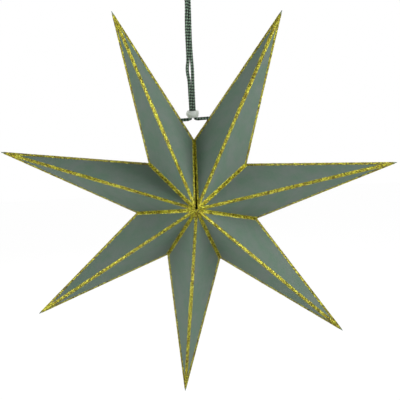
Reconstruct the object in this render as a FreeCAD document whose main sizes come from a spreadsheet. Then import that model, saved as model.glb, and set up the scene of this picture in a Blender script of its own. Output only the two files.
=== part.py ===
import FreeCAD, Part
import math
import os

import Sketcher
from FreeCAD import Vector

doc = FreeCAD.newDocument("origami_star")

# Driving sizes, in millimetres, degrees or plain counts
driving_sizes = [
    ("point_count", 7, "folded points, glued side by side round the middle"),
    ("tip_radius", 150.0, "star centre to the cut end of each tip"),
    ("tip_blunting", 1.2, "how far each tip is cut back from where its folds would meet"),
    ("notch_radius", 46.35, "star centre to the notch between two points"),
    ("half_depth", 39.75, "star centre to its front or back apex"),
    ("opening_step", 1.1165, "degrees by which each point is opened less than the one before"),
    ("first_tip_lean", 0.736, "degrees by which the first tip leans to the seam"),
    ("last_tip_lean", 3.033, "degrees by which the last tip leans to the seam"),
    ("seam_gap", 1.5, "open gap between the first and the last point, at the star's middle"),
    ("seam_notch_gap", 0.1, "the same gap at the notch, where the bead pulls the points together"),
    ("card_thickness", 0.35, "thickness of the card"),
    ("flap_width", 7.0, "width of a glue flap"),
    ("flap_start", 1.5, "bare fold between the notch and a flap"),
    ("flap_stop", 2.0, "bare fold between a flap and the apex"),
    ("flap_notch_angle", 45.0, "degrees of a flap's end at the notch"),
    ("flap_apex_angle", 31.0, "degrees of a flap's end at the apex"),
    ("glitter_thickness", 0.15, "how far the glitter stands on the card"),
    ("ridge_band", 1.6, "width of glitter each side of a ridge"),
    ("outline_band", 1.4, "width of glitter each side of an outline fold"),
    ("valley_band", 1.85, "width of glitter each side of a valley"),
    ("bare_tip", 1.0, "length of bare card at the end of each tip"),
    ("hang_height", 185.0, "star centre up to the top of the loop"),
    ("cord_diameter", 2.3, "diameter of the braided cord"),
    ("first_hole_place", 18.9, "notch to the hole in the first point, along its fold"),
    ("last_hole_place", 17.0, "notch to the hole in the last point, along its fold"),
    ("hole_diameter", 2.9, "holes for the cord"),
    ("knot_diameter", 5.4, "stopper knots on the cord's two ends"),
    ("knot_flat", 42.0, "degrees of latitude where a knot meets its cord"),
    ("knot_tail", 4.0, "cord end that stands out of a knot"),
    ("bead_diameter", 9.4, "outside diameter of the bead, at its waist"),
    ("bead_rim", 7.2, "diameter of the bead's flat rims"),
    ("bead_height", 4.9, "height of the bead"),
    ("bead_bore", 5.4, "bore of the bead, for two strands side by side"),
    ("bead_rounding", 0.35, "rounding of the bead's rims"),
    ("bead_tilt", 14.0, "degrees by which the bead nods forward"),
    ("strand_drop", 123.8, "top of the loop down to the strands below the bead"),
    ("bead_clearance", 0.15, "gap between the bead and the strands that it rests on"),
]

# The cord's route from the last point's knot up to the loop, in the part's own frame
left_route = [
    (-11.2, 0.0, -124.0),
    (-6.6, 0.0, -123.85),
    (-2.55, 0.0, -123.8),
    (-1.2, 0.0, -122.45),
    (-1.2, 0.05, -118.3),
    (-1.22, -0.1, -110.2),
    (-1.25, 0.1, -95.0),
    (-1.2, -0.05, -77.0),
    (-1.2, -0.2, -62.0),
    (-1.1, -0.7, -52.0),
    (-0.8, -1.0, -43.0),
    (-1.3, -1.0, -33.0),
    (-4.3, -0.4, -22.0),
    (-8.0, -0.1, -10.1),
    (-8.0, 0.0, -3.5),
    (-3.3, 0.0, 1.15),
]

# The same from the loop down to the first point's knot
right_route = [
    (3.3, 0.0, 1.15),
    (8.0, 0.0, -3.4),
    (8.0, 0.1, -10.0),
    (4.2, 0.4, -22.4),
    (1.2, 1.0, -33.5),
    (0.8, 1.0, -44.0),
    (1.1, 0.7, -53.0),
    (1.2, 0.2, -63.0),
    (1.22, 0.1, -78.0),
    (1.2, -0.1, -95.5),
    (1.25, 0.05, -110.5),
    (1.2, -0.05, -118.3),
    (1.2, 0.0, -122.45),
    (2.55, 0.0, -123.8),
    (6.5, 0.0, -123.6),
    (10.6, 0.0, -123.5),
    (14.6, 0.0, -123.6),
]

sheet = doc.addObject("Spreadsheet::Sheet", "Sizes")
for row, (alias, number, note) in enumerate(driving_sizes, start=1):
    sheet.set(f"A{row}", note)
    sheet.set(f"B{row}", str(number))
    sheet.setAlias(f"B{row}", alias)
doc.recompute()


def size(alias):
    return float(sheet.get(alias))


def on_outline(radius, bearing):
    """A point of the outline plane; bearings run clockwise from straight up, seen from the front."""
    angle = math.radians(bearing)
    return Vector(radius * math.sin(angle), 0, radius * math.cos(angle))


def unit(vector):
    return Vector(vector).normalize()


point_count = int(size("point_count"))
card = size("card_thickness")
tip_radius = size("tip_radius")
hang_place = FreeCAD.Placement(Vector(0, 0, -size("hang_height")), FreeCAD.Rotation())
front_apex = Vector(0, -size("half_depth"), 0)
back_apex = Vector(0, size("half_depth"), 0)


# Fold bearings
def fold_bearings():
    """Bearings of the notches: each point is opened a little less than the one before it."""
    middle = (point_count - 1) / 2
    bearings = [0.0]
    for k in range(point_count):
        width = 360 / point_count + size("opening_step") * (middle - k)
        bearings.append(bearings[-1] + width)
    return bearings


def tip_bearing(k, bearings):
    bearing = (bearings[k] + bearings[k + 1]) / 2
    if k == 0:
        bearing -= size("first_tip_lean")
    if k == point_count - 1:
        bearing += size("last_tip_lean")
    return bearing


class FoldedPoint:
    """The fold lines of one point, in the frame of the star's centre."""

    def __init__(self, k, bearings):
        self.tip = on_outline(tip_radius + size("tip_blunting"), tip_bearing(k, bearings))
        self.axis = unit(self.tip)
        notches = [on_outline(size("notch_radius"), b) for b in bearings[k:k + 2]]
        at_seam = [k == 0, k == point_count - 1]
        self.sides = [self.side(notch, seam) for notch, seam in zip(notches, at_seam)]

    def side(self, notch, seam):
        """One glued side: its plane stands back from an open seam, and cuts the folds at its corners."""
        inward = unit(notch.cross(Vector(0, 1, 0)))
        if inward.dot(self.tip) < 0:
            inward = -inward
        base = inward * (size("seam_gap") / 2 if seam else 0)
        out = unit(notch + inward * (size("seam_notch_gap") / 2 if seam else 0) - base)
        inward = unit(inward - out * inward.dot(out))
        corners = {}
        for name, corner in (("notch", notch), ("front", front_apex), ("back", back_apex)):
            along = corner - self.tip
            reach = (base - self.tip).dot(inward) / along.dot(inward)
            corners[name] = self.tip + along * reach
        return {"inward": inward, "base": base, "out": out, "outline_notch": notch, **corners}

    def panels(self):
        """The four triangular panels, each as tip, notch and apex."""
        return [(self.tip, s["notch"], s[apex]) for s in self.sides for apex in ("front", "back")]

    def inward_move(self, distance):
        """The move that shifts all four panels inward by one distance at a time."""
        first, last = [self.panel_normal(s) for s in self.sides]
        scale = first.x * last.z - first.z * last.x
        x = distance * (last.z - first.z) / scale
        z = distance * (first.x - last.x) / scale
        return Vector(x, 0, z)

    def panel_normal(self, side):
        """The inward normal of a side's front panel."""
        normal = unit((side["notch"] - self.tip).cross(side["front"] - self.tip))
        return normal if normal.dot(-self.tip) > 0 else -normal


# Solids of folded card
def flat_face(corners):
    return Part.Face(Part.makePolygon([*corners, corners[0]]))


def closed_solid(faces):
    solid = Part.makeSolid(Part.makeShell(faces))
    return solid if solid.Volume > 0 else solid.reversed()


def folded_cone(point, move):
    """The four panels, run on from the tip past the middle of the star, as a closed pyramid."""
    depth = point.tip.Length + size("notch_radius")
    first, last = point.sides
    tip = point.tip + move
    base = []
    for corner in (first["notch"], first["front"], last["notch"], first["back"]):
        along = unit(corner - point.tip)
        base.append(tip + along * (depth / -along.dot(point.axis)))
    walls = [flat_face([tip, base[i], base[(i + 1) % 4]]) for i in range(4)]
    return closed_solid([*walls, flat_face(base)])


def sector(point):
    """The wedge of space between a point's two glued sides."""
    first, last = point.sides
    across = first["out"].cross(last["out"]).y
    run = (last["base"] - first["base"]).cross(last["out"]).y / across
    corner = first["base"] + first["out"] * run
    far = 2 * tip_radius
    reach = Vector(0, far, 0)
    outline = [corner, corner + first["out"] * far, corner + last["out"] * far]
    return flat_face([c - reach for c in outline]).extrude(reach * 2)


def beyond(point, radius):
    """The block of space past a given radius of a point."""
    block = size("notch_radius")
    across = unit(point.axis.cross(Vector(0, 1, 0)))
    start = point.axis * radius
    corners = [
        start + across * (i * block) + Vector(0, j * block, 0)
        for i, j in ((-1, -1), (1, -1), (1, 1), (-1, 1))
    ]
    return flat_face(corners).extrude(point.axis * block)


def glue_flap(side, apex):
    """A flap along one valley fold, bent in to lie on the glued side."""
    start, stop = side["notch"], side[apex]
    along = unit(stop - start)
    inner = along.cross(side["inward"])
    if inner.dot((side["front"] + side["back"]) / 2 - start) < 0:
        inner = -inner
    width = size("flap_width")
    start_run = width / math.tan(math.radians(size("flap_notch_angle")))
    stop_run = width / math.tan(math.radians(size("flap_apex_angle")))
    begin = start + along * size("flap_start")
    end = stop - along * size("flap_stop")
    inner_end = end - along * stop_run + inner * width
    inner_begin = begin + along * start_run + inner * width
    return flat_face([begin, end, inner_end, inner_begin]).extrude(side["inward"] * card)


def inset_corner(corner, one, other, one_inset, other_inset):
    """Where two lines meet that run beside the edges corner-one and corner-other."""
    to_one, to_other = unit(one - corner), unit(other - corner)
    sine = to_one.cross(to_other).Length
    return corner + to_one * (other_inset / sine) + to_other * (one_inset / sine)


def bare_field(tip, notch, apex):
    """The bare card inside one panel's glitter bands, as a block that cuts the glitter away."""
    ridge, outline, valley = size("ridge_band"), size("outline_band"), size("valley_band")
    outward = unit((notch - tip).cross(apex - tip))
    if outward.y * apex.y < 0:
        outward = -outward
    corners = [
        inset_corner(tip, notch, apex, outline, ridge),
        inset_corner(notch, tip, apex, outline, valley),
        inset_corner(apex, tip, notch, ridge, valley),
    ]
    start = outward * -(card / 2)
    height = card + size("glitter_thickness")
    return flat_face([c + start for c in corners]).extrude(outward * height)


# Document objects
def feature(name, shape, placement=hang_place):
    added = doc.addObject("Part::Feature", name)
    added.Shape = shape
    added.Placement = placement
    return added


def boolean(kind, name, **links):
    added = doc.addObject(f"Part::{kind}", name)
    for link, value in links.items():
        setattr(added, link, value)
    added.Refine = True
    return added


def cord_hole(name, side, fold, place):
    """A level hole through an outline fold, in line with the strand that it takes."""
    level = Vector(math.copysign(1, side["inward"].x), 0, 0)
    centre = side["outline_notch"] + fold * size(place)
    hole = doc.addObject("Part::Cylinder", name)
    hole.setExpression("Radius", "Sizes.hole_diameter / 2")
    hole.setExpression("Height", "2 * Sizes.hole_diameter")
    start = centre - level * size("hole_diameter")
    turn = FreeCAD.Rotation(Vector(0, 0, 1), level)
    hole.Placement = hang_place.multiply(FreeCAD.Placement(start, turn))
    return hole


parts = {}


def make_point(k, point):
    """One card sheet and its glitter."""
    number = k + 1
    outside = feature(f"outside_{number}", folded_cone(point, Vector()))
    inside = feature(f"inside_{number}", folded_cone(point, point.inward_move(card)))
    wedge = feature(f"sector_{number}", sector(point))
    past_tip = feature(f"past_tip_{number}", beyond(point, tip_radius))
    walls = boolean("Cut", f"walls_{number}", Base=outside, Tool=inside)
    panels = boolean("Common", f"panels_{number}", Base=walls, Tool=wedge)
    cut_tip = boolean("Cut", f"cut_tip_{number}", Base=panels, Tool=past_tip)
    flaps = []
    for i, side in enumerate(point.sides):
        for apex in ("front", "back"):
            flaps.append(feature(f"flap_{number}_{i}_{apex}", glue_flap(side, apex)))
    sheet_of_card = boolean("MultiFuse", f"sheet_{number}", Shapes=[cut_tip, *flaps])

    thickness = size("glitter_thickness")
    coat_cone = folded_cone(point, point.inward_move(-thickness))
    coat_outside = feature(f"coat_outside_{number}", coat_cone)
    coat = boolean("Cut", f"coat_{number}", Base=coat_outside, Tool=outside)
    coat_in_sector = boolean("Common", f"coat_in_sector_{number}", Base=coat, Tool=wedge)
    fields = [bare_field(*panel) for panel in point.panels()]
    tip_end = beyond(point, tip_radius - size("bare_tip"))
    bare = feature(f"bare_{number}", Part.Compound([*fields, tip_end]))
    bands = boolean("Cut", f"bands_{number}", Base=coat_in_sector, Tool=bare)

    holes = {0: (0, "first_hole_place"), point_count - 1: (1, "last_hole_place")}
    if k in holes:
        i, place = holes[k]
        side = point.sides[i]
        hole = cord_hole(f"hole_{number}", side, unit(point.tip - side["notch"]), place)
        sheet_of_card = boolean("Cut", f"holed_sheet_{number}", Base=sheet_of_card, Tool=hole)
        bands = boolean("Cut", f"holed_bands_{number}", Base=bands, Tool=hole)
    parts[f"point_{number}"] = sheet_of_card
    parts[f"glitter_{number}"] = bands


# Cord
def rounded_path(route):
    """Straight runs joined by tangent arcs, each as large as its two runs allow."""
    corners = [Vector(*p) for p in route]
    edges, radii = [], []
    at = corners[0]
    for before, corner, after in zip(corners, corners[1:], corners[2:]):
        back, ahead = before - corner, after - corner
        half_turn = (math.pi - back.getAngle(ahead)) / 2
        trim = 0.45 * min(back.Length, ahead.Length)
        radius = trim / math.tan(half_turn)
        start, stop = corner + unit(back) * trim, corner + unit(ahead) * trim
        bisector = unit(unit(back) + unit(ahead))
        middle = corner + bisector * (radius / math.cos(half_turn) - radius)
        edges += [Part.LineSegment(at, start).toShape(), Part.Arc(start, middle, stop).toShape()]
        radii.append(radius)
        at = stop
    edges.append(Part.LineSegment(at, corners[-1]).toShape())
    return Part.Wire(edges), radii


def make_cord():
    route = left_route + right_route
    path, radii = rounded_path(route)
    start, towards = Vector(*route[0]), Vector(*route[1]) - Vector(*route[0])
    radius = size("cord_diameter") / 2
    profile = Part.Wire([Part.Circle(start, unit(towards), radius).toShape()])
    tube = path.makePipeShell([profile], True, False)
    section = math.pi * radius**2
    print("cord radii", [round(r, 1) for r in radii])
    share = tube.Volume / (section * path.Length)
    print("cord length", round(path.Length, 2), "volume share", round(share, 5))
    parts["hanging_cord"] = feature("cord_tube", tube, FreeCAD.Placement())


def make_knot(name, end, before):
    """A stopper knot on a cord's end: it seats on the cord's end face, and a short tail stands out."""
    inward = unit(end - before)
    ball = doc.addObject("Part::Sphere", f"{name}_ball")
    ball.setExpression("Radius", "Sizes.knot_diameter / 2")
    ball.setExpression("Angle2", "Sizes.knot_flat")
    to_face = size("knot_diameter") / 2 * math.sin(math.radians(size("knot_flat")))
    centre = end + inward * to_face
    ball.Placement = FreeCAD.Placement(centre, FreeCAD.Rotation(Vector(0, 0, 1), -inward))
    tail = doc.addObject("Part::Cylinder", f"{name}_tail")
    tail.setExpression("Radius", "Sizes.cord_diameter / 2")
    tail.setExpression("Height", "Sizes.knot_diameter / 2 + Sizes.knot_tail")
    tail.Placement = FreeCAD.Placement(centre, FreeCAD.Rotation(Vector(0, 0, 1), inward))
    parts[name] = boolean("MultiFuse", f"{name}_solid", Shapes=[ball, tail])


# Bead
def make_bead():
    """A bead turned round its bore, nodding forward on the two strands below it."""
    body = doc.addObject("PartDesign::Body", "bead")
    planes = {f.Role: f for f in body.Origin.OriginFeatures}
    section = body.newObject("Sketcher::SketchObject", "bead_section")
    section.AttachmentSupport = [(planes["XZ_Plane"], "")]
    section.MapMode = "FlatFace"
    inner, outer, half = size("bead_bore") / 2, size("bead_diameter") / 2, size("bead_height") / 2
    rim = size("bead_rim") / 2
    corners = [Vector(inner, half), Vector(inner, -half), Vector(rim, -half), Vector(rim, half)]
    for i in range(2):
        section.addGeometry(Part.LineSegment(corners[i], corners[i + 1]), False)
    section.addGeometry(Part.Arc(corners[2], Vector(outer, 0), corners[3]), False)
    section.addGeometry(Part.LineSegment(corners[3], corners[0]), False)
    for i in range(4):
        section.addConstraint(Sketcher.Constraint("Coincident", i, 2, (i + 1) % 4, 1))
    for i in (1, 3):
        section.addConstraint(Sketcher.Constraint("Horizontal", i))
    section.addConstraint(Sketcher.Constraint("Vertical", 2, 1, 2, 2))
    section.addConstraint(Sketcher.Constraint("Symmetric", 0, 1, 0, 2, -1))
    swell = outer - rim
    waist_radius = (half**2 + swell**2) / (2 * swell)
    swell_cells = "(Sizes.bead_diameter - Sizes.bead_rim)"
    waist_cells = f"(Sizes.bead_height ^ 2 + {swell_cells} ^ 2) / 4 / {swell_cells}"
    bindings = [
        (Sketcher.Constraint("DistanceX", -1, 1, 0, 1, inner), "Sizes.bead_bore / 2"),
        (Sketcher.Constraint("DistanceX", -1, 1, 1, 2, rim), "Sizes.bead_rim / 2"),
        (Sketcher.Constraint("DistanceY", 0, 2, 0, 1, 2 * half), "Sizes.bead_height"),
        (Sketcher.Constraint("Radius", 2, waist_radius), waist_cells),
    ]
    ring = body.newObject("PartDesign::Revolution", "bead_ring")
    ring.Profile = section
    ring.ReferenceAxis = (section, ["V_Axis"])
    ring.Angle = 360
    doc.recompute()
    ring_edges = enumerate(ring.Shape.Edges, start=1)
    rims = [f"Edge{i}" for i, e in ring_edges if e.isClosed()]
    rounding = body.newObject("PartDesign::Fillet", "bead_rims")
    rounding.Base = (ring, rims)
    rim_limit = "0.24 * (Sizes.bead_rim - Sizes.bead_bore)"
    rounding.setExpression("Radius", f"min(Sizes.bead_rounding; {rim_limit})")
    tilt = math.radians(size("bead_tilt"))
    strand = size("cord_diameter") / 2
    rest = strand + size("bead_clearance") - size("strand_drop")
    level = rest + half / math.cos(tilt) + strand * math.tan(tilt)
    turn = FreeCAD.Rotation(Vector(1, 0, 0), size("bead_tilt"))
    body.Placement = FreeCAD.Placement(Vector(0, 0, level), turn)
    parts["cord_bead"] = body


# Build, check and write
bearings = fold_bearings()
for k in range(point_count):
    make_point(k, FoldedPoint(k, bearings))
make_cord()
make_knot("left_knot", Vector(*left_route[0]), Vector(*left_route[1]))
make_knot("right_knot", Vector(*right_route[-1]), Vector(*right_route[-2]))
make_bead()
for name, part in parts.items():
    part.Label = name
doc.recompute()

for added in doc.Objects:
    faults = {"Invalid", "Error"} & set(added.State)
    if faults:
        raise RuntimeError(f"{added.Name} is {faults}")
for name, part in parts.items():
    if part.Shape.isNull() or not part.Shape.isValid():
        raise RuntimeError(f"{name} has no valid shape")

os.makedirs("parts", exist_ok=True)
for name, part in parts.items():
    part.Shape.exportStep(f"parts/{name}.step")
    print(name, "solids", len(part.Shape.Solids), "volume", round(part.Shape.Volume, 1))
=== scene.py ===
import math
import random

import bmesh
import bpy
from mathutils import Matrix, Vector, noise


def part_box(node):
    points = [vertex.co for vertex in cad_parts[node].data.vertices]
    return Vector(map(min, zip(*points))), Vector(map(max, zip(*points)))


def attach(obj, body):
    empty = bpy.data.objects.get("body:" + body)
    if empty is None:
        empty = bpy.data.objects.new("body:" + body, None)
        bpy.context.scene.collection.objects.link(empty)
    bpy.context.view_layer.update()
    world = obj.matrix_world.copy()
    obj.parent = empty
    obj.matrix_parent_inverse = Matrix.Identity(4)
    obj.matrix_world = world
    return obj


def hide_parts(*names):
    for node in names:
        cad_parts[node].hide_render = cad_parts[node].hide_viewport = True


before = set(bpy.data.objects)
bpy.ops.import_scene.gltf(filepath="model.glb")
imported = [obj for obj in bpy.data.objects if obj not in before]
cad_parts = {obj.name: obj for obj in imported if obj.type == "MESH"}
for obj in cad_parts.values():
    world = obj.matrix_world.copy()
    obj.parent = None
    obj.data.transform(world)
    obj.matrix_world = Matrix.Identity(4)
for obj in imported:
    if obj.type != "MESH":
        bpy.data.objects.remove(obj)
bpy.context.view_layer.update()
scene = bpy.context.scene
mm = 0.001

# the folded star, as it was cut and glued
star = {
    "centre": Vector((0, 0, -185 * mm)),
    "points": 7,
    "tipRadius": 150 * mm,
    "tipBlunting": 1.2 * mm,
    "notchRadius": 46.35 * mm,
    "halfDepth": 39.75 * mm,
    "openingStep": 1.1165,  # degrees less for each point than for the one before
    "firstTipLean": 0.736,
    "lastTipLean": 3.033,
    "seamGap": 1.5 * mm,  # at the middle of the star
    "seamNotchGap": 0.1 * mm,
    "card": 0.35 * mm,
}


class Value:
    # a socket, so that Python maths on it adds Math nodes
    def __init__(self, tree, socket):
        self.tree, self.socket = tree, socket

    def maths(self, operation, *values):
        return self.tree.add("ShaderNodeMath", {"operation": operation}, dict(enumerate(values)))

    def __add__(self, other):
        return self.maths("ADD", self, other)

    def __radd__(self, other):
        return self.maths("ADD", other, self)

    def __sub__(self, other):
        return self.maths("SUBTRACT", self, other)

    def __rsub__(self, other):
        return self.maths("SUBTRACT", other, self)

    def __mul__(self, other):
        return self.maths("MULTIPLY", self, other)

    def __rmul__(self, other):
        return self.maths("MULTIPLY", other, self)

    def __pow__(self, other):
        return self.maths("POWER", self, other)

    def __rpow__(self, other):
        return self.maths("POWER", other, self)


class Tree:
    # one node tree while it is put together
    def __init__(self, tree):
        self.tree = tree

    def add(self, kind, settings=None, inputs=None, output=0):
        node = self.tree.nodes.new(kind)
        for name, value in (settings or {}).items():
            if name == "stops":
                self.setStops(node.color_ramp, value)
            else:
                setattr(node, name, value)
        for name, value in (inputs or {}).items():
            self.plug(value, node.inputs[name])
        return Value(self, node.outputs[output])

    def setStops(self, ramp, stops):
        while len(ramp.elements) < len(stops):
            ramp.elements.new(1)
        for element, (place, shade) in zip(ramp.elements, stops):
            element.position, element.color = place, shade

    def plug(self, value, socket):
        if isinstance(value, Value):
            self.tree.links.new(value.socket, socket)
        else:
            socket.default_value = value


class Finish(Tree):
    # one material while it is put together
    def __init__(self, name, **constants):
        self.material = bpy.data.materials.new(name)
        self.material.use_nodes = True
        super().__init__(self.material.node_tree)
        self.shader = self.tree.nodes["Principled BSDF"]
        for socket, value in constants.items():
            self.shader.inputs[socket.replace("_", " ")].default_value = value

    def feed(self, socket, value):
        self.plug(value, self.shader.inputs[socket])

    def place(self):
        return self.add("ShaderNodeTexCoord", output="Object")

    def grain(self, scale, detail=2.0, roughness=0.5, stretch=(1, 1, 1)):
        place = self.add("ShaderNodeVectorMath", {"operation": "MULTIPLY"}, {0: self.place(), 1: stretch})
        sockets = {"Vector": place, "Scale": scale, "Detail": detail, "Roughness": roughness}
        return self.add("ShaderNodeTexNoise", {}, sockets)

    def cells(self, scale, output="Red"):
        # a random value for each small cell of the surface
        pattern = self.add("ShaderNodeTexVoronoi", {}, {"Vector": self.place(), "Scale": scale}, output="Color")
        return self.add("ShaderNodeSeparateColor", {}, {0: pattern}, output=output)

    def mix(self, share, one, other):
        return self.add("ShaderNodeMix", {"data_type": "RGBA"}, {0: share, 6: one, 7: other}, output=2)

    def ramp(self, value, *stops):
        return self.add("ShaderNodeValToRGB", {"stops": stops}, {0: value})

    def bump(self, height, distance, strength=1.0):
        sockets = {"Height": height, "Distance": distance, "Strength": strength}
        self.feed("Normal", self.add("ShaderNodeBump", {}, sockets))


def colour(red, green, blue):
    # a colour as it looks on a screen, 0 to 255, turned into linear light
    screen = [c / 255 for c in (red, green, blue)]
    return (*[c / 12.92 if c < 0.04045 else ((c + 0.055) / 1.055) ** 2.4 for c in screen], 1)


def newPiece(name, bm, body, slotName, *materials, smooth=False):
    mesh = bpy.data.meshes.new(name)
    bm.to_mesh(mesh)
    bm.free()
    for material in materials:
        mesh.materials.append(material)
    mesh.polygons.foreach_set("use_smooth", [smooth] * len(mesh.polygons))
    piece = bpy.data.objects.new(name, mesh)
    scene.collection.objects.link(piece)
    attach(piece, body)
    return piece


# camera: the photograph looks slightly down and a little from the left of the star's axis
camera = {
    "place": Vector((7.516, -355.722, 46.741)) * mm,  # from the centre of the star
    "turn": (-0.127, 0.052, 0.012),  # rotation vector, from level and looking along +Y
    "lens": 43.18,
    "sensor": 36.0,
}


def makeCamera():
    data = bpy.data.cameras.new("camera")
    data.lens, data.sensor_width, data.clip_start = camera["lens"], camera["sensor"], 0.01
    cam = bpy.data.objects.new("camera", data)
    scene.collection.objects.link(cam)
    turn = Vector(camera["turn"])
    level = Matrix.Rotation(math.pi / 2, 3, "X")
    facing = Matrix.Rotation(turn.length, 3, turn.normalized()) @ level
    cam.matrix_world = Matrix.LocRotScale(star["centre"] + camera["place"], facing.to_quaternion(), None)
    scene.camera = cam


makeCamera()
print("camera set")

# cord, from the knot in the last point, up to the loop and down to the knot in the first point
cord = {
    "diameter": 2.3 * mm,
    "length": 282 * mm,
    "exit": (-8.4 * mm, 0, -123.9 * mm),
    "carriers": 4,  # strands each way round
    "lay": 8.4 * mm,  # one turn of a strand
    "twist": 61 * mm,  # one turn of the whole braid
    "paleWidth": 1.05 * mm,
    "darkWidth": 1.4 * mm,
    "strandThickness": 0.6 * mm,
    "weave": 0.15 * mm,
    "fuzz": 0.1 * mm,  # how far the yarns stand past the diameter
    "swell": 0.08 * mm,  # how much more where the braid is slack
    "tautRun": 14.18 * mm,  # from each knot to past the bead
    "slackRun": 26 * mm,  # from each knot to where the braid is fully slack
    "step": 0.33 * mm,
}
# places in millimetres, as the cord hangs
cordRoute = [
    (-11.2, 0.0, -124.0), (-6.6, 0.0, -123.85), (-2.55, 0.0, -123.8), (-1.2, 0.0, -122.45),
    (-1.18, 0.0, -118.3), (-1.18, 0.0, -111.0), (-1.2, 0.0, -101.0), (-1.3, 0.05, -95.0),
    (-2.1, 0.1, -91.0), (-2.15, 0.1, -86.5), (-1.3, 0.0, -82.5), (-1.2, 0.0, -79.0),
    (-1.15, 0.0, -74.0), (-1.15, 0.0, -67.0), (-1.1, -0.2, -60.0),
    (-0.7, -1.0, -52.0), (0.05, -1.3, -42.0), (-0.9, -1.2, -33.0), (-4.3, -0.4, -22.0),
    (-8.0, -0.1, -10.1), (-8.0, 0.0, -3.5), (-3.3, 0.0, 1.15),
    (3.3, 0.0, 1.15), (8.0, 0.0, -3.4), (8.0, 0.1, -10.0), (4.6, 0.4, -22.4),
    (2.1, 1.2, -33.0), (1.6, 1.35, -42.0), (1.5, 0.9, -52.0), (1.25, 0.2, -60.0),
    (1.15, 0.0, -67.0), (1.15, 0.0, -74.0), (1.25, 0.0, -80.0), (1.6, -0.1, -88.0),
    (1.3, -0.1, -98.0), (1.2, 0.0, -110.0), (1.18, 0.0, -118.3), (1.2, 0.0, -122.45),
    (2.55, 0.0, -123.8), (6.5, 0.0, -123.6), (10.6, 0.0, -123.5), (14.6, 0.0, -123.6),
]


def yarn(name, dark, light):
    finish = Finish(name, Roughness=0.72, Specular_IOR_Level=0.35, Sheen_Weight=0.25, Sheen_Roughness=0.4)
    fibre = finish.grain(2600, 3, 0.6, (1, 1, 0.35))
    finish.feed("Base Color", finish.mix(fibre, dark, light))
    finish.bump(fibre, 0.06 * mm, 0.8)
    return finish.material


def lineOf(route):
    # the smooth line of a route, read from its spline
    curve = bpy.data.curves.new("route", "CURVE")
    curve.dimensions = "3D"
    spline = curve.splines.new("NURBS")
    spline.points.add(len(route) - 1)
    for point, place in zip(spline.points, route):
        point.co = (*(Vector(place) * mm), 1)
    spline.order_u = 3
    spline.use_endpoint_u = True
    spline.resolution_u = 24
    holder = bpy.data.objects.new("route", curve)
    mesh = bpy.data.meshes.new_from_object(holder)
    line = [v.co.copy() for v in mesh.vertices]
    bpy.data.meshes.remove(mesh)
    bpy.data.curves.remove(curve)
    return line


def evenly(line, step):
    # the line's points again, one step apart
    runs = [(b - a).length for a, b in zip(line, line[1:])]
    count = max(2, round(sum(runs) / step))
    gap = sum(runs) / count
    points, i, passed = [line[0]], 0, 0.0
    for k in range(1, count):
        while passed + runs[i] < k * gap:
            passed += runs[i]
            i += 1
        points.append(line[i].lerp(line[i + 1], (k * gap - passed) / runs[i]))
    return [*points, line[-1]]


def framesAlong(line):
    # a forward, side and up direction at each point, with no sudden turn between them
    frames, side = [], Vector((0, 1, 0))
    for i in range(len(line)):
        forward = (line[min(i + 1, len(line) - 1)] - line[max(i - 1, 0)]).normalized()
        side = (side - forward * side.dot(forward)).normalized()
        frames.append((forward, side, forward.cross(side)))
    return frames


def sweep(bm, centres, frames, across, thick, slotIndex, sides=8):
    # an oval strand along the centres
    rings = []
    for centre, (outward, around) in zip(centres, frames):
        ring = []
        for k in range(sides):
            angle = 2 * math.pi * k / sides
            offset = around * (across / 2 * math.cos(angle)) + outward * (thick / 2 * math.sin(angle))
            ring.append(bm.verts.new(centre + offset))
        rings.append(ring)
    for ring, after in zip(rings, rings[1:]):
        for k in range(sides):
            face = bm.faces.new((ring[k], ring[(k + 1) % sides], after[(k + 1) % sides], after[k]))
            face.material_index = slotIndex
    for end, ring in ((0, rings[0]), (1, rings[-1])):
        bm.faces.new(ring if end else ring[::-1]).material_index = slotIndex


def slackness(run, length):
    # 0 at the knots and in the bead, 1 along the rest of the cord
    past = min(run, length - run) - cord["tautRun"]
    return max(0.0, min(1.0, past / (cord["slackRun"] - cord["tautRun"])))


def braid(bm, line, size, radius, swell=0.0):
    # strands wound both ways round a line, over and under: pale ones one way, two dark shades the other
    frames = framesAlong(line)
    runs = [0.0]
    for a, b in zip(line, line[1:]):
        runs.append(runs[-1] + (b - a).length)
    for way in (1, -1):
        for i in range(size["carriers"]):
            centres, turned = [], []
            for place, run, (forward, side, up) in zip(line, runs, frames):
                winding = 2 * math.pi * run / size["lay"]
                angle = way * winding + 2 * math.pi * (i / size["carriers"] + run / size["twist"])
                out = radius - size["strandThickness"] / 2 - size["weave"] + swell * slackness(run, runs[-1])
                out += way * size["weave"] * math.cos(size["carriers"] * winding)
                outward = side * math.cos(angle) + up * math.sin(angle)
                around = up * math.cos(angle) - side * math.sin(angle)
                slope = way * 2 * math.pi * out / size["lay"]
                along = (forward + around * slope).normalized()
                centres.append(place + outward * out)
                turned.append((outward, along.cross(outward).normalized()))
            slotIndex, width = (0, size["paleWidth"]) if way > 0 else (1 + i % 2, size["darkWidth"])
            sweep(bm, centres, turned, width, size["strandThickness"], slotIndex)
    # a dark core closes the braid
    core = 2 * (radius - size["strandThickness"])
    sweep(bm, line, [(side, up) for _, side, up in frames], core, core, 1)


cordYarns = [
    yarn("paleYarn", colour(68, 96, 74), colour(160, 190, 166)),
    yarn("darkYarn", colour(1, 5, 2), colour(4, 14, 7)),
    yarn("greenYarn", colour(3, 10, 5), colour(12, 28, 17)),
]


def makeCord():
    line = evenly(lineOf(cordRoute), cord["step"])
    bm = bmesh.new()
    braid(bm, line, cord, cord["diameter"] / 2 + cord["fuzz"], cord["swell"])
    piece = newPiece("braidedCord", bm, "star", "braided_cord", *cordYarns, smooth=True)
    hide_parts("hanging_cord")
    return piece, line


hangingCord, cordLine = makeCord()
print("cord braided:", len(hangingCord.data.polygons), "faces")

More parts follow.
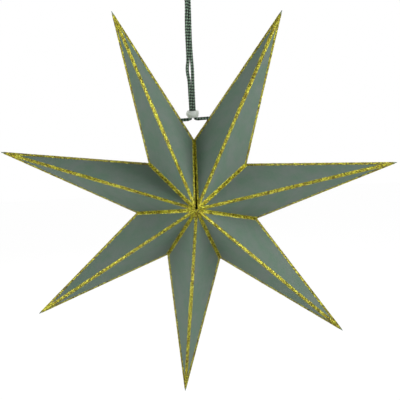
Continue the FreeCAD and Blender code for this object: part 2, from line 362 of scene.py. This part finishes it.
# stopper knots, one on each end of the cord, inside the two points at the seam
knot = {
    "size": 5.4 * mm,
    "strand": 1.9 * mm,
    "tail": 4.0 * mm,
    "tailSteps": 14,
    "turnSteps": 160,
    "thickness": 1.6,  # against the loops' size
    "bite": 0.4 * mm,  # how far the cord runs into the knot
    "yarns": {
        "paleWidth": 0.7 * mm,
        "darkWidth": 0.95 * mm,
        "strandThickness": 0.4 * mm,
        "weave": 0.1 * mm,
        "lay": 5.2 * mm,
        "step": 0.3 * mm,
    },
}


def makeKnot(name, node, end, inward):
    # the turns of an overhand knot, pulled tight, and the cut end that stands out of it
    reach = (knot["size"] - knot["strand"]) / 2 / 3  # a trefoil is 3 units from its middle to its loops
    across = inward.orthogonal().normalized()
    up = inward.cross(across)
    centre = end + inward * (knot["size"] / 2 - knot["bite"])
    turns = []
    for k in range(knot["turnSteps"] + 1):
        a = 2 * math.pi * k / knot["turnSteps"]
        place = across * (math.sin(a) + 2 * math.sin(2 * a)) + up * (math.cos(a) - 2 * math.cos(2 * a))
        turns.append(centre + (place - inward * (knot["thickness"] * math.sin(3 * a))) * reach)
    tip = centre + inward * (knot["size"] / 2 + knot["tail"])
    tail = [centre.lerp(tip, k / knot["tailSteps"]) for k in range(knot["tailSteps"] + 1)]
    bm = bmesh.new()
    size = {**cord, **knot["yarns"]}
    for line in (turns, tail):
        braid(bm, evenly(line, size["step"]), size, knot["strand"] / 2)
    piece = newPiece(name, bm, "star", "braided_cord", *cordYarns, smooth=True)
    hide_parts(node)
    return piece


leftKnot = makeKnot("leftKnot", "left_knot", cordLine[0], Vector((-1, 0, 0)))
rightKnot = makeKnot("rightKnot", "right_knot", cordLine[-1], Vector((1, 0, 0)))

# bead, moulded in milky plastic, which slides on both strands
bead = {
    "diameter": 9.4 * mm,  # at its waist
    "rim": 7.2 * mm,
    "height": 4.9 * mm,
    "bore": 5.4 * mm,
    "rounding": 0.35 * mm,
    "rimAngle": 20,  # where the rounded rims meet the waist, in degrees
    "waistSteps": 6,  # from the middle to a rim
    "roundSteps": 4,
    "turnSteps": 72,
    "tilt": 14.0,  # nod towards the camera, in degrees
    "uneven": 0.09 * mm,
}


def beadProfile():
    # the section of the ring, counter-clockwise: straight bore, rounded rims and a swelling waist
    inner, rim, half = bead["bore"] / 2, bead["rim"] / 2, bead["height"] / 2
    r = bead["rounding"]
    swell = bead["diameter"] / 2 - rim
    waist = (half ** 2 + swell ** 2) / (2 * swell)
    centre = rim + swell - waist
    reach = math.asin((half - r) / waist)
    profile, steps = [], bead["waistSteps"]
    for k in range(-steps, steps + 1):
        a = reach * k / steps
        profile.append((centre + waist * math.cos(a), waist * math.sin(a)))
    edge = profile[-1][0]
    corners = (
        (edge - r, half - r, bead["rimAngle"], 90),
        (inner + r, half - r, 90, 180),
        (inner + r, r - half, 180, 270),
        (edge - r, r - half, 270, 360 - bead["rimAngle"]),
    )
    for across, up, start, stop in corners:
        for k in range(bead["roundSteps"] + 1):
            a = math.radians(start + (stop - start) * k / bead["roundSteps"])
            profile.append((across + r * math.cos(a), up + r * math.sin(a)))
    return profile


def makeBead():
    lo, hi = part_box("cord_bead")
    middle = (lo + hi) / 2
    tilt = Matrix.Rotation(math.radians(bead["tilt"]), 3, "X")
    bm = bmesh.new()
    rings, count = [], bead["turnSteps"]
    for k in range(count):
        angle = 2 * math.pi * k / count
        outward = Vector((math.cos(angle), math.sin(angle), 0))
        ring = []
        for radius, z in beadProfile():
            # moulded a little uneven outside, with a true bore
            wave = bead["uneven"] * noise.noise(Vector((outward.x * 1.7, outward.y * 1.7, z * 500)))
            wave *= (radius - bead["bore"] / 2) / (bead["diameter"] - bead["bore"]) * 2
            ring.append(bm.verts.new(middle + tilt @ (outward * (radius + wave) + Vector((0, 0, z)))))
        rings.append(ring)
    for k in range(count):
        ring, after = rings[k], rings[(k + 1) % count]
        for j in range(len(ring)):
            bm.faces.new((ring[j], after[j], after[(j + 1) % len(ring)], ring[(j + 1) % len(ring)]))
    bmesh.ops.recalc_face_normals(bm, faces=bm.faces)
    finish = Finish("milkyPlastic", IOR=1.49, Transmission_Weight=0.5, Coat_Weight=0.3)
    cloud = finish.grain(420, 3, 0.55)
    finish.feed("Base Color", finish.mix(cloud, colour(226, 232, 224), colour(250, 253, 249)))
    finish.feed("Roughness", 0.26 + 0.18 * cloud)
    finish.bump(finish.grain(900, 2, 0.5), 0.05 * mm, 0.5)
    piece = newPiece("cordBead", bm, "bead", "clear_bead", finish.material, smooth=True)
    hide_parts("cord_bead")
    return piece


cordBead = makeBead()
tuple(cord["exit"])
[tuple(p) for p in cordLine]
print("knots and bead made")


# folds of the star: bearings run clockwise from straight up, seen from the front
def onOutline(radius, bearing):
    angle = math.radians(bearing)
    return Vector((radius * math.sin(angle), 0, radius * math.cos(angle)))


def notchBearings():
    bearings = [0.0]
    for k in range(star["points"]):
        step = star["openingStep"] * ((star["points"] - 1) / 2 - k)
        bearings.append(bearings[-1] + 360 / star["points"] + step)
    return bearings


class Fold:
    # one point's fold lines, from the centre of the star
    def __init__(self, k, bearings):
        last = star["points"] - 1
        lean = star["lastTipLean"] * (k == last) - star["firstTipLean"] * (k == 0)
        bearing = (bearings[k] + bearings[k + 1]) / 2 + lean
        self.tip = onOutline(star["tipRadius"] + star["tipBlunting"], bearing)
        self.axis = self.tip.normalized()
        self.notches = [onOutline(star["notchRadius"], b) for b in bearings[k:k + 2]]
        self.planes = []
        for notch, seam in zip(self.notches, (k == 0, k == last)):
            inward = Vector((-notch.z, 0, notch.x)).normalized()
            inward *= math.copysign(1, inward.dot(self.tip))
            base = inward * (star["seamGap"] / 2 * seam)
            out = (notch + inward * (star["seamNotchGap"] / 2 * seam) - base).normalized()
            self.planes.append((base, (inward - out * inward.dot(out)).normalized()))
        self.index = k

    def apex(self, way):
        return Vector((0, way * star["halfDepth"], 0))

    def within(self, place, start=None):
        # a place on a line from the tip, drawn back along the line to the glued sides
        start = start or self.tip
        run = place - start
        share = 1.0
        for base, inward in self.planes:
            fall = run.dot(inward)
            if fall < -1e-9:  # the line runs towards this side
                share = min(share, (base - start).dot(inward) / fall)
        return start + run * share

    def corners(self, side, way):
        # a panel's own corners: tip, notch and apex
        base, inward = self.planes[side]
        found = [self.tip]
        for corner in (self.notches[side], self.apex(way)):
            along = corner - self.tip
            found.append(self.tip + along * ((base - self.tip).dot(inward) / along.dot(inward)))
        return found

    def outward(self, side, way):
        tip, notch, apex = self.corners(side, way)
        normal = (notch - tip).cross(apex - tip).normalized()
        return normal * math.copysign(1, normal.y * way)

    def bow(self, side, way, place):
        # card is never quite flat: how far a panel bows between its folds
        tip, notch, apex = self.corners(side, way)
        normal = (notch - tip).cross(apex - tip)
        area = normal.dot(normal)
        toNotch = (place - tip).cross(apex - tip).dot(normal) / area
        toApex = (notch - tip).cross(place - tip).dot(normal) / area
        near = max(0.0, toNotch) * max(0.0, toApex) * max(0.0, 1 - toNotch - toApex)
        wave = noise.noise(place * 26 + Vector((self.index * 3.1, side * 5.3, way * 7.7)))
        return near * (paper["bow"] + paper["ripple"] * wave)

    def inward(self, distance):
        # the move that shifts all four panels inward by one distance
        first, last = [-self.outward(side, -1) for side in (0, 1)]
        scale = first.x * last.z - first.z * last.x
        return Vector((distance * (last.z - first.z) / scale, 0, distance * (first.x - last.x) / scale))


# card sheets
paper = {
    "bow": 14 * mm,
    "ripple": 22 * mm,
    "alongCells": 44,
    "acrossCells": 12,
    "flapWidth": 7 * mm,
    "flapStart": 1.5 * mm,
    "flapStop": 2 * mm,
    "flapNotchAngle": 45,
    "flapApexAngle": 31,
    "pastSides": 1.2,  # how far the panels' lines are drawn before they are cut at the glued sides
    "holeDiameter": 2.9 * mm,
    "holes": {0: (0, 18.9 * mm), 6: (1, 17.0 * mm)},  # point: side, and run from the notch along the fold
}


def cardFinish():
    finish = Finish("greenCard", Specular_IOR_Level=0.32)
    cloud = finish.ramp(finish.grain(85, 4, 0.6), (0.35, (0, 0, 0, 1)), (0.65, (1, 1, 1, 1)))
    fibre = finish.grain(900, 3, 0.6, (1, 1, 0.3))
    speck = finish.grain(2600, 2, 0.5)
    green = finish.mix(cloud, colour(84, 112, 93), colour(103, 115, 108))
    green = finish.mix(0.5 * fibre, green, colour(120, 136, 124))
    finish.feed("Base Color", finish.mix(0.3 * speck, green, colour(70, 90, 77)))
    finish.feed("Roughness", 0.66 + 0.2 * fibre)
    finish.bump(0.6 * fibre + 0.4 * speck, 0.05 * mm, 0.55)
    return finish.material


def cardRing(fold, share, inner):
    # once round the four panels at one share of the way from tip to glued sides
    start = fold.tip + (fold.inward(star["card"]) if inner else Vector())
    count = paper["acrossCells"]
    ring = []
    for side, way, turned in ((0, -1, False), (0, 1, True), (1, 1, False), (1, -1, True)):
        normal = fold.outward(side, way)
        for k in range(count):
            s = 1 - k / count if turned else k / count
            direction = fold.apex(way).lerp(fold.notches[side], s) - fold.tip
            direction *= paper["pastSides"]
            place = start.lerp(fold.within(start + direction, start), share)
            onPanel = fold.tip.lerp(fold.within(fold.tip + direction), share)
            ring.append(place + normal * fold.bow(side, way, onPanel))
    return ring


def glueFlap(bm, fold, side, way):
    # a flap bent in along a valley, to lie on the glued side
    tip, notch, apex = fold.corners(side, way)
    inward = fold.planes[side][1]
    along = (apex - notch).normalized()
    inner = along.cross(inward)
    inner *= math.copysign(1, inner.dot(-(notch + apex)))
    begin, end = notch + along * paper["flapStart"], apex - along * paper["flapStop"]
    width = paper["flapWidth"]
    innerEnd = end - along * (width / math.tan(math.radians(paper["flapApexAngle"]))) + inner * width
    innerBegin = begin + along * (width / math.tan(math.radians(paper["flapNotchAngle"]))) + inner * width
    low = [bm.verts.new(star["centre"] + p) for p in (begin, end, innerEnd, innerBegin)]
    high = [bm.verts.new(v.co + inward * star["card"]) for v in low]
    bm.faces.new(low)
    bm.faces.new(high[::-1])
    for k in range(4):
        bm.faces.new((low[k], high[k], high[(k + 1) % 4], low[(k + 1) % 4]))


def punch(piece, fold, side, run):
    # the hole for the cord through an outline fold
    notch = fold.notches[side]
    centre = star["centre"] + notch + (fold.tip - notch).normalized() * run
    bm = bmesh.new()
    level = Matrix.Rotation(math.pi / 2, 4, "Y")
    width = paper["holeDiameter"]
    bmesh.ops.create_cone(bm, segments=32, radius1=width / 2, radius2=width / 2, depth=2 * width,
                          matrix=Matrix.Translation(centre) @ level, cap_ends=True)
    mesh = bpy.data.meshes.new("punch")
    bm.to_mesh(mesh)
    bm.free()
    cutter = bpy.data.objects.new("punch", mesh)
    scene.collection.objects.link(cutter)
    cut = piece.modifiers.new("punch", "BOOLEAN")
    cut.operation, cut.solver, cut.object = "DIFFERENCE", "EXACT", cutter
    punched = bpy.data.meshes.new_from_object(piece.evaluated_get(bpy.context.evaluated_depsgraph_get()))
    piece.modifiers.clear()
    piece.data = punched
    bpy.data.meshes.remove(mesh)


def makeSheet(fold, finish):
    bm = bmesh.new()
    first = star["tipBlunting"] / (star["tipRadius"] + star["tipBlunting"])
    shares = [first + (1 - first) * k / paper["alongCells"] for k in range(paper["alongCells"] + 1)]
    outer = [[bm.verts.new(star["centre"] + p) for p in cardRing(fold, share, False)] for share in shares]
    inner = [[bm.verts.new(star["centre"] + p) for p in cardRing(fold, share, True)] for share in shares]
    count = len(outer[0])
    rows = [*reversed(inner), *outer]
    for row, after in zip(rows, rows[1:]):
        for k in range(count):
            bm.faces.new((row[k], row[(k + 1) % count], after[(k + 1) % count], after[k]))
    for k in range(count):
        row, after = outer[-1], inner[-1]
        bm.faces.new((row[k], row[(k + 1) % count], after[(k + 1) % count], after[k]))
    for side in (0, 1):
        for way in (-1, 1):
            glueFlap(bm, fold, side, way)
    bmesh.ops.recalc_face_normals(bm, faces=bm.faces)
    number = fold.index + 1
    piece = newPiece(f"cardPoint{number}", bm, "star", "green_card", finish)
    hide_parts(f"point_{number}")
    if fold.index in paper["holes"]:
        punch(piece, fold, *paper["holes"][fold.index])
    return piece


# gold glitter along every fold
glitter = {
    "height": 0.15 * mm,
    "rough": 0.075 * mm,  # up and down
    "jitter": 0.09 * mm,  # along the card
    "ragged": 0.16 * mm,  # along the card at the bands' edges
    "sunk": 0.02 * mm,  # how far the bands' edges lie in the card
    "grain": 0.36 * mm,
    "ridge": 1.9 * mm,
    "outline": 2.8 * mm,
    "valley": 1.85 * mm,
    "acrossCells": 4,
    "bareTip": 1.0 * mm,
}


def glitterFinish():
    finish = Finish("goldGlitter", Metallic=0.55, Specular_IOR_Level=0.5)
    flake = finish.add("ShaderNodeAttribute", {"attribute_name": "flake"}, output="Fac")
    clumpSparkle = finish.cells(1250)
    thin = finish.add("ShaderNodeAttribute", {"attribute_name": "thin"}, output="Fac")
    # painted sparkle: each flake and each clump gets its own lighter or darker gold, painted glints and dark
    # flecks standing in for the light the flakes catch; the outline folds carry less glitter and so come out
    # darker
    paintedSparkle = 0.3 * flake + 0.6 * clumpSparkle + 0.2 * finish.grain(190, 3, 0.6) - 0.1 - 0.07 * thin
    # from painted shade in the darkest stops, through the gold itself, to painted highlights in the brightest
    # stops
    goldAndPaintedSparkle = finish.ramp(paintedSparkle, (0.08, colour(40, 34, 3)), (0.3, colour(100, 94, 9)), (0.5, colour(150, 151, 20)),
                       (0.7, colour(208, 206, 52)), (0.92, colour(250, 247, 136)))
    warm = finish.cells(700, "Green") ** 3
    finish.feed("Base Color", finish.mix(0.4 * warm, goldAndPaintedSparkle, colour(158, 118, 16)))
    finish.feed("Roughness", 0.5 - 0.2 * flake)
    finish.bump(finish.grain(5200, 2, 0.5), 0.04 * mm, 0.6)
    return finish.material


def insetCorner(corner, one, other, oneInset, otherInset):
    toOne, toOther = (one - corner).normalized(), (other - corner).normalized()
    sine = toOne.cross(toOther).length
    return corner + toOne * (otherInset / sine) + toOther * (oneInset / sine)


def bandStrip(outerLine, innerLine):
    # rows of places, each from one line across to the other
    across = glitter["acrossCells"]
    return [[a.lerp(b, j / across) for j in range(across + 1)] for a, b in zip(outerLine, innerLine)]


def straight(start, stop, count):
    return [start.lerp(stop, k / count) for k in range(count + 1)]


def bandRuns(fold, side, way):
    # the ridge, outline and valley band of a panel: two lines for each, and whether it has little glitter
    tip, notch, apex = fold.corners(side, way)
    bareTip = insetCorner(tip, notch, apex, glitter["outline"], glitter["ridge"])
    bareNotch = insetCorner(notch, tip, apex, glitter["outline"], glitter["valley"])
    bareApex = insetCorner(apex, tip, notch, glitter["ridge"], glitter["valley"])
    for start, stop, innerStart, innerStop, thin in (
        (fold.tip, fold.apex(way), bareTip, bareApex, False),
        (fold.tip, fold.notches[side], bareTip, bareNotch, True),
        (fold.apex(way), fold.notches[side], bareApex, bareNotch, False),
    ):
        count = round((stop - start).length / glitter["grain"])
        outerLine = [fold.within(p) for p in straight(start, stop, count)]
        yield outerLine, straight(innerStart, innerStop, count), thin


def roughen(bm, edge, dice):
    # lift each grain to its own height, and leave the bands' edges ragged on the card
    moves = []
    for vert in bm.verts:
        slide = Vector([dice.uniform(-1, 1) for _ in range(3)])
        slide -= vert.normal * slide.dot(vert.normal)
        if vert[edge]:
            moves.append(slide * glitter["ragged"] - vert.normal * glitter["sunk"])
        else:
            height = glitter["height"] + dice.uniform(-1, 1) * glitter["rough"]
            moves.append(slide * (0 if vert.is_boundary else glitter["jitter"]) + vert.normal * height)
    for vert, move in zip(bm.verts, moves):
        vert.co += move + star["centre"]


def makeGlitter(fold, finish):
    dice = random.Random(700 + fold.index)
    bm = bmesh.new()
    edge = bm.verts.layers.int.new("edge")
    thin = bm.faces.layers.int.new("thin")  # 1 on the outline folds, which carry less glitter
    for side in (0, 1):
        for way in (-1, 1):
            normal = fold.outward(side, way)
            for outerLine, innerLine, isThin in bandRuns(fold, side, way):
                grid = []
                for row in bandStrip(outerLine, innerLine):
                    verts = [bm.verts.new(place + normal * fold.bow(side, way, place)) for place in row]
                    verts[-1][edge] = 1
                    grid.append(verts)
                for row, after in zip(grid, grid[1:]):
                    for j in range(glitter["acrossCells"]):
                        bm.faces.new((row[j], row[j + 1], after[j + 1], after[j]))[thin] = isThin
    bmesh.ops.remove_doubles(bm, verts=bm.verts, dist=0.001 * mm)
    bareEnd = star["tipRadius"] - glitter["bareTip"]
    beyond = [v for v in bm.verts if v.co.dot(fold.axis) > bareEnd]
    bmesh.ops.delete(bm, geom=beyond, context="VERTS")
    bmesh.ops.dissolve_degenerate(bm, dist=0.02 * mm, edges=bm.edges)
    bmesh.ops.recalc_face_normals(bm, faces=bm.faces)
    bm.normal_update()
    # the frontmost face has to look forward
    front = min(bm.faces, key=lambda f: f.calc_center_median().y)
    if front.normal.y > 0:
        bmesh.ops.reverse_faces(bm, faces=bm.faces)
    bm.normal_update()
    roughen(bm, edge, dice)
    bmesh.ops.triangulate(bm, faces=bm.faces)
    number = fold.index + 1
    piece = newPiece(f"glitterBands{number}", bm, "star", "gold_glitter", finish)
    flake = piece.data.attributes.new("flake", "FLOAT", "FACE")
    flake.data.foreach_set("value", [dice.random() for _ in piece.data.polygons])
    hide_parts(f"glitter_{number}")
    return piece


cardMaterial = cardFinish()
glitterMaterial = glitterFinish()
bearings = notchBearings()
for k in range(star["points"]):
    fold = Fold(k, bearings)
    makeSheet(fold, cardMaterial)
    bands = makeGlitter(fold, glitterMaterial)
    print("point", k + 1, "folded, glitter triangles:", len(bands.data.polygons))

# studio: white all round, a pale floor well below, and large soft lamps
studio = {
    "floorDrop": 0.62,
    "floorSize": 8.0,
    "floorColour": colour(244, 244, 242),
    "floorGlow": 0.93,  # share of plain white that the camera sees in the floor
    "glowStrength": 1.05,
    "fill": 0.18,  # light from all round
    "lamps": [
        # name, place from the star's centre, size, power in watts
        ("lowLeftSoftbox", (-1.0, -1.0, -0.1), 0.8, 5.6),
        ("sideLeftSoftbox", (-1.2, -0.4, 0.35), 0.8, 5.6),
        ("rightSoftbox", (1.3, -0.8, 0.05), 1.0, 8.4),
        ("highRightSoftbox", (1.0, -0.35, 0.75), 0.7, 9.4),
        ("backSoftbox", (-0.5, 1.4, 0.7), 1.0, 8.0),
    ],
}


def seenDirectly(tree):
    # 1 for camera, mirror and glass rays, which see a white room
    rays = ("Is Camera Ray", "Is Glossy Ray", "Is Transmission Ray")
    direct, mirror, glass = [tree.add("ShaderNodeLightPath", output=ray) for ray in rays]
    return direct + mirror + glass


def makeWorld():
    world = bpy.data.worlds.new("room")
    scene.world = world
    world.use_nodes = True
    tree = Tree(world.node_tree)
    background = world.node_tree.nodes["Background"]
    background.inputs["Color"].default_value = (1, 1, 1, 1)
    direct = seenDirectly(tree)
    tree.plug(studio["fill"] + (1 - studio["fill"]) * direct, background.inputs["Strength"])


def makeFloor():
    bm = bmesh.new()
    bmesh.ops.create_grid(bm, x_segments=1, y_segments=1, size=studio["floorSize"] / 2)
    mesh = bpy.data.meshes.new("floor")
    bm.to_mesh(mesh)
    bm.free()
    floor = bpy.data.objects.new("floor", mesh)
    floor.location.z = -studio["floorDrop"]
    scene.collection.objects.link(floor)
    finish = Finish("paleFloor", Base_Color=studio["floorColour"], Roughness=0.9, Specular_IOR_Level=0.1)
    glow = finish.add("ShaderNodeEmission", {}, {"Strength": studio["glowStrength"]})
    plain = Value(finish, finish.shader.outputs[0])
    share = studio["floorGlow"] * seenDirectly(finish)
    blend = finish.add("ShaderNodeMixShader", {}, {0: share, 1: plain, 2: glow})
    finish.plug(blend, finish.tree.nodes["Material Output"].inputs["Surface"])
    mesh.materials.append(finish.material)


def makeLamps():
    for name, place, size, power in studio["lamps"]:
        data = bpy.data.lights.new(name, "AREA")
        data.shape, data.size, data.energy = "SQUARE", size, power
        lamp = bpy.data.objects.new(name, data)
        lamp.location = star["centre"] + Vector(place)
        lamp.rotation_euler = (-Vector(place)).to_track_quat("-Z", "Y").to_euler()
        scene.collection.objects.link(lamp)


makeWorld()
makeFloor()
makeLamps()
scene.view_settings.view_transform = "Standard"
print("studio lit")

bpy.context.view_layer.update()
